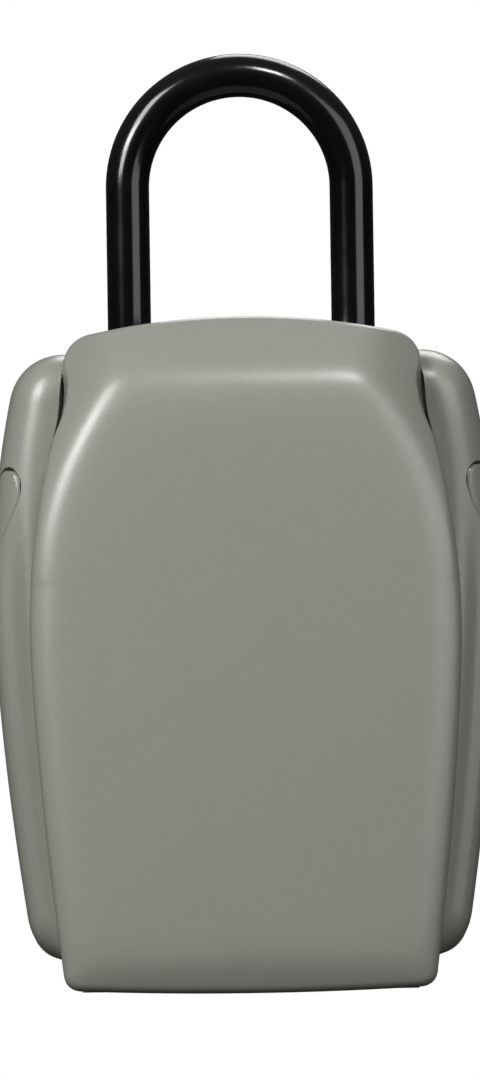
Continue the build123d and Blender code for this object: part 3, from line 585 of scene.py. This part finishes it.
BUTTON_Y, BUTTON_Z = -1.9, BODY_HEIGHT - 42.3
BUTTON_LENGTH, BUTTON_WIDTH, BUTTON_SLANT = 13.0, 4.4, math.radians(22)    # half sizes
BUTTON_INNER_X = 44.6            # inner face of the cap
BUTTON_HOLE_X = 43.2             # inner end of its hole
BUTTON_GAP, SHADOW_GAP = 0.12, 0.7
BUTTON_EDGE = 0.35
STEM_HALF_HEIGHT, STEM_GAP = 5, 0.3
STEM_Y = (-3.8, 0.2)
STEM_X = (40.1, 45)
STEM_HOLE_X = 44
POCKET_X, POCKET_HALF_HEIGHT, POCKET_FLOOR = 41.5, 14, 2


def button_prism(side, inner_x, grow, over=0.0):
    """The slanted oval of a side button along X; "over" makes it higher for a shadow gap."""
    around = 96
    turn = np.linspace(0, 2 * math.pi, around, endpoint=False)
    a = (BUTTON_LENGTH + grow + over / 2) * np.sin(turn) + over / 2
    b = (BUTTON_WIDTH + grow) * np.cos(turn)
    y = BUTTON_Y + b * math.cos(BUTTON_SLANT) - a * math.sin(BUTTON_SLANT)
    z = BUTTON_Z + b * math.sin(BUTTON_SLANT) + a * math.cos(BUTTON_SLANT)
    verts = [(side * x, *yz) for x in (inner_x, BODY_WIDTH / 2 + 3) for yz in zip(y, z)]
    faces = ring_faces(2, around)
    faces += [tuple(range(around)), tuple(range(2 * around - 1, around - 1, -1))]
    return mesh_object("button_prism", verts, faces)


def side_box(name, side, x_range, y_range, z_range):
    """A box on the left or right side, given as on the right."""
    low_x, high_x = sorted(side * x for x in x_range)
    return box_mesh(name, (low_x, y_range[0], z_range[0]), (high_x, y_range[1], z_range[1]))


for side, word in ((-1, "left"), (1, "right")):
    wing = wing_mesh(side)
    cuts = [
        button_prism(side, BUTTON_HOLE_X, BUTTON_GAP, SHADOW_GAP),
        side_box("recess", side, (0, PLATE_HIGH.x + PLATE_GAP), (PLATE_LOW.y, DOOR_BACK_Y + 1),
                 (PLATE_LOW.z - PLATE_GAP, PLATE_HIGH.z + PLATE_GAP)),
        side_box("pocket", side, (0, POCKET_X), (DECK_Y + POCKET_FLOOR, DOOR_BACK_Y + 1),
                 (BUTTON_Z - POCKET_HALF_HEIGHT, BUTTON_Z + POCKET_HALF_HEIGHT)),
        side_box("stem", side, (0, STEM_HOLE_X), (STEM_Y[0] - STEM_GAP, STEM_Y[1] + STEM_GAP),
                 (BUTTON_Z - STEM_HALF_HEIGHT - STEM_GAP, BUTTON_Z + STEM_HALF_HEIGHT + STEM_GAP)),
    ]
    for cut in cuts:
        boolean(wing, cut, "DIFFERENCE")
    tidy_normals(wing, 40)
    button = wing_mesh(side)
    button.name = f"{word}_button_cap"
    boolean(button, button_prism(side, BUTTON_INNER_X, 0), "INTERSECT")
    stem = side_box("stem", side, STEM_X, STEM_Y,
                    (BUTTON_Z - STEM_HALF_HEIGHT, BUTTON_Z + STEM_HALF_HEIGHT))
    bevel = button.modifiers.new("edge", "BEVEL")
    bevel.width, bevel.segments = BUTTON_EDGE * MM, 3
    bevel.limit_method, bevel.angle_limit = "ANGLE", math.radians(50)
    apply_modifiers(button)
    button = join(button.name, [button, stem])
    place(button, f"{word}_button", "button_paint", f"{word}_button")
    place(wing, "door", "grey_paint")


# ---- middle of the door, cut from the CAD casing
middle = frame["nodes"]["door_casing"].copy()
middle.data = frame["nodes"]["door_casing"].data.copy()
middle.name = "door_middle"
for key in list(middle.keys()):
    if key.startswith("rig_"):
        del middle[key]
middle.parent = None
bpy.context.scene.collection.objects.link(middle)
shape = bmesh.new()
shape.from_mesh(middle.data)
bmesh.ops.remove_doubles(shape, verts=shape.verts, dist=WELD)
shape.to_mesh(middle.data)
shape.free()
loop = cover_outline()
MIDDLE_GROW = WING_GAP - 0.02    # the middle stops just short of the wings
MIDDLE_Y = (-30, 20)             # beyond the casing at both ends
grown = loop + MIDDLE_GROW * outward(loop)
boolean(middle, prism_mesh("middle_prism", grown, *MIDDLE_Y), "INTERSECT")
middle.data.polygons.foreach_set("use_smooth", [False] * len(middle.data.polygons))
place(middle, "door", "grey_paint", "door_casing")


# ---- shackle coat

coat_low, coat_high = (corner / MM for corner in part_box("shackle_coat"))
core_low, core_high = (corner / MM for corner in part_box("shackle_core"))
COAT_RADIUS = (coat_high.y - coat_low.y) / 2
CORE_RADIUS = (core_high.y - core_low.y) / 2
SHACKLE_Y = (coat_high.y + coat_low.y) / 2
ARCH_RADIUS = coat_high.x - COAT_RADIUS
ARCH_Z = coat_high.z - COAT_RADIUS - ARCH_RADIUS
COAT_EDGE = 0.3


def shackle_coat():
    """The dipped coat: round in section, softly rounded at its two ends."""
    around, legs, arch = 64, 40, 120
    path = [(-ARCH_RADIUS, z, 0.0) for z in np.linspace(coat_low.z, ARCH_Z, legs)]
    path += [(-ARCH_RADIUS * math.cos(t), ARCH_Z + ARCH_RADIUS * math.sin(t), t)
             for t in np.linspace(0, math.pi, arch)[1:-1]]
    path += [(ARCH_RADIUS, z, math.pi) for z in np.linspace(ARCH_Z, coat_low.z, legs)]
    verts = []

    def ring(spot, radius):
        x, z, turn = spot
        for i in range(around):
            angle = 2 * math.pi * i / around
            off = radius * math.cos(angle)
            verts.append((x - off * math.cos(turn), SHACKLE_Y + radius * math.sin(angle),
                          z + off * math.sin(turn)))

    ring(path[0], CORE_RADIUS)
    ring(path[0], COAT_RADIUS - COAT_EDGE)
    full_width = [(x, z + COAT_EDGE, turn) for x, z, turn in (path[0], path[-1])]
    for spot in [full_width[0]] + path[1:-1] + [full_width[1]]:
        ring(spot, COAT_RADIUS)
    ring(path[-1], COAT_RADIUS - COAT_EDGE)
    ring(path[-1], CORE_RADIUS)
    for spot in path[-2:0:-1]:
        ring(spot, CORE_RADIUS)
    total = len(verts) // around
    faces = ring_faces(total, around)
    last = (total - 1) * around
    faces += [(last + i, last + (i + 1) % around, (i + 1) % around, i) for i in range(around)]
    return mesh_object("coat", verts, faces, 60)


place(shackle_coat(), "shackle", "black_coat", "shackle_coat")


# ---- springs, screws and numerals

THREAD_PITCH, THREAD_ROOT = 0.5, 0.8         # the root is a share of the shank
SCREW_TIP, SLOT_DEPTH = 0.4, 0.5


def swept_tube(name, line, radius, around=12):
    """A round wire along a line of points."""
    line = np.asarray(line, float)
    along = np.gradient(line, axis=0)
    along /= np.linalg.norm(along, axis=1)[:, None]
    verts = []
    for point, way in zip(line, along):
        first = np.cross(way, (1.0, 0.013, 0.007))
        first /= np.linalg.norm(first)
        second = np.cross(way, first)
        for i in range(around):
            turn = 2 * math.pi * i / around
            verts.append(point + radius * (math.cos(turn) * first + math.sin(turn) * second))
    faces = ring_faces(len(line), around)
    last = (len(line) - 1) * around
    faces += [tuple(range(around)), tuple(range(last + around - 1, last - 1, -1))]
    return mesh_object(name, verts, faces, 60)


def coil_spring(node, body, wire, turns):
    """A coil of wire along X in the room of its CAD node."""
    low, high = (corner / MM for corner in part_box(node))
    centre = (low + high) / 2
    radius = (high.z - low.z) / 2 - wire
    line = []
    for t in np.linspace(0, 1, int(turns * 28)):
        closed = min(t * turns, 1.0, (1 - t) * turns)       # end turns lie close together
        share = t + 0.06 * math.sin(2 * math.pi * t) * (1 - closed)
        x = low.x + wire + (high.x - low.x - 2 * wire) * share
        angle = 2 * math.pi * turns * t
        line.append((x, centre.y + radius * math.cos(angle), centre.z + radius * math.sin(angle)))
    place(swept_tube(f"{node}_coil", line, wire), body, "spring_steel", node)


def loose_boxes(node):
    """The corners of each separate solid of a CAD node, in millimetres."""
    shape = bmesh.new()
    shape.from_mesh(frame["nodes"][node].data)
    bmesh.ops.remove_doubles(shape, verts=shape.verts, dist=WELD)
    left, found = set(shape.verts), []
    while left:
        group, edge = set(), [next(iter(left))]
        while edge:
            vert = edge.pop()
            if vert in group:
                continue
            group.add(vert)
            edge += [link.other_vert(vert) for link in vert.link_edges]
        left -= group
        spots = np.array([vert.co for vert in group]) / MM
        found.append((spots.min(axis=0), spots.max(axis=0)))
    shape.free()
    return sorted(found, key=lambda box: tuple(np.round(box[0], 2)))


def lathe_along_y(name, x, z, profile, around=40):
    """A turned piece: (y, radius) pairs round an axis along Y."""
    verts = [(x + r * math.cos(t), y, z + r * math.sin(t)) for y, r in profile
             for t in np.linspace(0, 2 * math.pi, around, endpoint=False)]
    last = (len(profile) - 1) * around
    faces = ring_faces(len(profile), around)
    faces += [tuple(range(around)), tuple(range(last + around - 1, last - 1, -1))]
    return mesh_object(name, verts, faces, 35)


def cross_screws(node, body, shank, head, head_high, slot_name="steel"):
    """Cross-head screws along Y in the room of their CAD node, heads at the high or low y."""
    pieces = []
    for index, (low, high) in enumerate(loose_boxes(node)):
        x, z = (low[0] + high[0]) / 2, (low[2] + high[2]) / 2
        radius = (high[0] - low[0]) / 2
        top, tip, way = (high[1], low[1], -1) if head_high else (low[1], high[1], 1)
        crest = min(0.3, head / 3)
        profile = [(top, radius - crest), (top + way * crest * 0.3, radius - crest * 0.3),
                   (top + way * crest, radius), (top + way * head, radius),
                   (top + way * head, shank * 0.98)]
        root = shank * THREAD_ROOT
        y = top + way * (head + 0.4)
        while abs(tip - y) > 0.9:
            profile += [(y, root), (y + way * 0.25, shank), (y + way * 0.4, root)]
            y += way * THREAD_PITCH
        profile += [(tip - way * SCREW_TIP, shank * 0.75), (tip, shank * 0.35)]
        screw = lathe_along_y(f"{node}_{index + 1}", x, z, profile)
        reach, half = radius * 0.62, radius * 0.14
        low_y, high_y = sorted((top - way * SLOT_DEPTH, top + way * head * 0.7))
        for wide, tall in ((reach, half), (half, reach)):
            slot = box_mesh("cross", (x - wide, low_y, z - tall), (x + wide, high_y, z + tall))
            boolean(screw, slot, "DIFFERENCE")
        pieces.append(screw)
    place(join(f"{node}_cross_heads", pieces), body, slot_name, node)


for side in ("left", "right"):
    coil_spring(f"{side}_button_spring", frame_body(f"{side}_button_spring"), 0.24, 4)
coil_spring("shaft_return_spring", frame_body("shaft_return_spring"), 0.3, 4)
cross_screws("back_plate_screws", frame_body("back_plate_screws"), 0.8, 1.0, True)
cross_screws("strike_screws", frame_body("strike_screws"), 0.8, 0.9, False)
cross_screws("chassis_screws", frame_body("chassis_screws"), 0.8, 1.2, True)

NUMERAL_HEIGHT = 3.4
NUMERAL_PROUD = 0.02             # above the wheel
DIGITS = 10


def numerals(dial):
    """The ten digits round a dial wheel, wrapped on its faces."""
    low, high = (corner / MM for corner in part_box(dial))
    centre = (low + high) / 2
    radius = (high.z - low.z) / 2 + NUMERAL_PROUD
    shapes = []
    for digit in range(DIGITS):
        curve = bpy.data.curves.new("digit", "FONT")
        curve.body = str(digit)
        curve.align_x, curve.align_y = "CENTER", "CENTER"
        curve.size, curve.extrude, curve.resolution_u = 1.0, 0.012, 3
        text = bpy.data.objects.new("digit", curve)
        bpy.context.scene.collection.objects.link(text)
        graph = bpy.context.evaluated_depsgraph_get()
        mesh = bpy.data.meshes.new_from_object(text.evaluated_get(graph))
        spots = np.array([vert.co for vert in mesh.vertices])
        scale = NUMERAL_HEIGHT / (spots[:, 1].max() - spots[:, 1].min())
        spots[:, :2] -= (spots[:, :2].max(axis=0) + spots[:, :2].min(axis=0)) / 2
        angle = math.radians(360 / DIGITS * digit) + spots[:, 1] * scale / radius
        out = radius + spots[:, 2] * scale
        wrapped = np.column_stack([centre.x + spots[:, 0] * scale, centre.y - out * np.cos(angle),
                                   centre.z + out * np.sin(angle)])
        for vert, spot in zip(mesh.vertices, wrapped):
            vert.co = Vector(spot) * MM
        bpy.data.objects.remove(text)
        piece = bpy.data.objects.new("digit", mesh)
        bpy.context.scene.collection.objects.link(piece)
        shapes.append(piece)
    result = join(f"{dial}_numerals", shapes)
    place(result, frame_body(dial), "steel")
    result.data.materials.clear()
    result.data.materials.append(numeral_paint)


numeral_paint = moulded("numeral_paint", (0.72, 0.72, 0.70), 0.45)
for index in range(1, 5):
    numerals(f"dial_wheel_{index}")


# ---- stage, light and camera

FLOOR_RADIUS = 3500.0
FLOOR_Z = -230.0             # the box hangs by its shackle, and its door swings down past its foot
circle = np.linspace(0, 2 * math.pi, 96, endpoint=False)
floor_spots = [(r * math.cos(t), r * math.sin(t), FLOOR_Z)
               for r in (1.0, FLOOR_RADIUS) for t in circle]
floor = mesh_object("floor", floor_spots,
                    ring_faces(2, len(circle)) + [tuple(range(len(circle)))])
pale, pale_tree, pale_shader = material("pale", (0.8, 0.8, 0.8), 0.9)
speckle = add_noise(pale_tree, 20, 2.0)
tint(pale_tree, speckle, (0.79, 0.79, 0.79), (0.81, 0.81, 0.81), pale_shader.inputs["Base Color"])
pale_shader.inputs["Emission Color"].default_value = (1, 1, 1, 1)
pale_shader.inputs["Emission Strength"].default_value = 0.93
floor.data.materials.append(pale)
floor.visible_glossy = False
floor.visible_diffuse = False
floor.visible_shadow = False


LIGHT_AIM = (0, 0, 0.09)


def softbox(name, spot, width, height, power):
    """A soft area light aimed at the middle of the box, in metres and watts."""
    data = bpy.data.lights.new(name, "AREA")
    data.shape, data.size, data.size_y, data.energy = "RECTANGLE", width, height, power
    lamp = bpy.data.objects.new(name, data)
    lamp.location = spot
    lamp.rotation_euler = (Vector(LIGHT_AIM) - Vector(spot)).to_track_quat("-Z", "Y").to_euler()
    bpy.context.scene.collection.objects.link(lamp)


softbox("front_left", (-1.15, -1.30, 0.60), 0.55, 0.55, 11.8)
softbox("front_right", (1.20, -1.30, 0.50), 1.3, 1.3, 10.4)
softbox("upper_left", (-0.64, -0.66, 0.66), 0.34, 0.5, 6.2)
softbox("upper_right", (0.17, -0.62, 0.78), 0.16, 0.16, 2.4)
softbox("back", (0.25, 1.1, 1.3), 0.9, 0.9, 10)

# a dim sky that is brighter above; the camera itself sees white
world = bpy.data.worlds.new("studio")
world.use_nodes = True
sky = world.node_tree
spot = sky.nodes.new("ShaderNodeTexCoord")
parts = sky.nodes.new("ShaderNodeSeparateXYZ")
fade = sky.nodes.new("ShaderNodeMapRange")
sky.links.new(spot.outputs["Generated"], parts.inputs["Vector"])
sky.links.new(parts.outputs["Z"], fade.inputs["Value"])
for name, value in (("From Min", -0.05), ("From Max", 0.9), ("To Min", 0.02), ("To Max", 0.14)):
    fade.inputs[name].default_value = value
seen = sky.nodes.new("ShaderNodeLightPath")
level = sky.nodes.new("ShaderNodeMix")
level.inputs["B"].default_value = 1.0
sky.links.new(seen.outputs["Is Camera Ray"], level.inputs["Factor"])
sky.links.new(fade.outputs["Result"], level.inputs["A"])
sky.nodes["Background"].inputs["Color"].default_value = (1, 1, 1, 1)
sky.links.new(level.outputs["Result"], sky.nodes["Background"].inputs["Strength"])
bpy.context.scene.world = world
bpy.context.scene.view_settings.view_transform = "Standard"

CAMERA_DISTANCE = 4.0
VIEW_HEIGHT = 0.2153          # height of the view at the object
VIEW_CENTRE = (-0.0009, 0.0902)
VIEW_PLANE_Y = -0.012
LEAN = math.radians(0.85)
SENSOR = 36
lens = bpy.data.cameras.new("camera")
lens.sensor_width = lens.sensor_height = SENSOR
lens.sensor_fit = "VERTICAL"
lens.lens = SENSOR * CAMERA_DISTANCE / VIEW_HEIGHT
lens.clip_start, lens.clip_end = 0.05, 100
camera = bpy.data.objects.new("camera", lens)
camera.location = (VIEW_CENTRE[0], VIEW_PLANE_Y - CAMERA_DISTANCE, VIEW_CENTRE[1])
tilt = Matrix.Rotation(LEAN, 4, "Y") @ Matrix.Rotation(math.pi / 2, 4, "X")
camera.rotation_euler = tilt.to_euler()
bpy.context.scene.collection.objects.link(camera)
bpy.context.scene.camera = camera
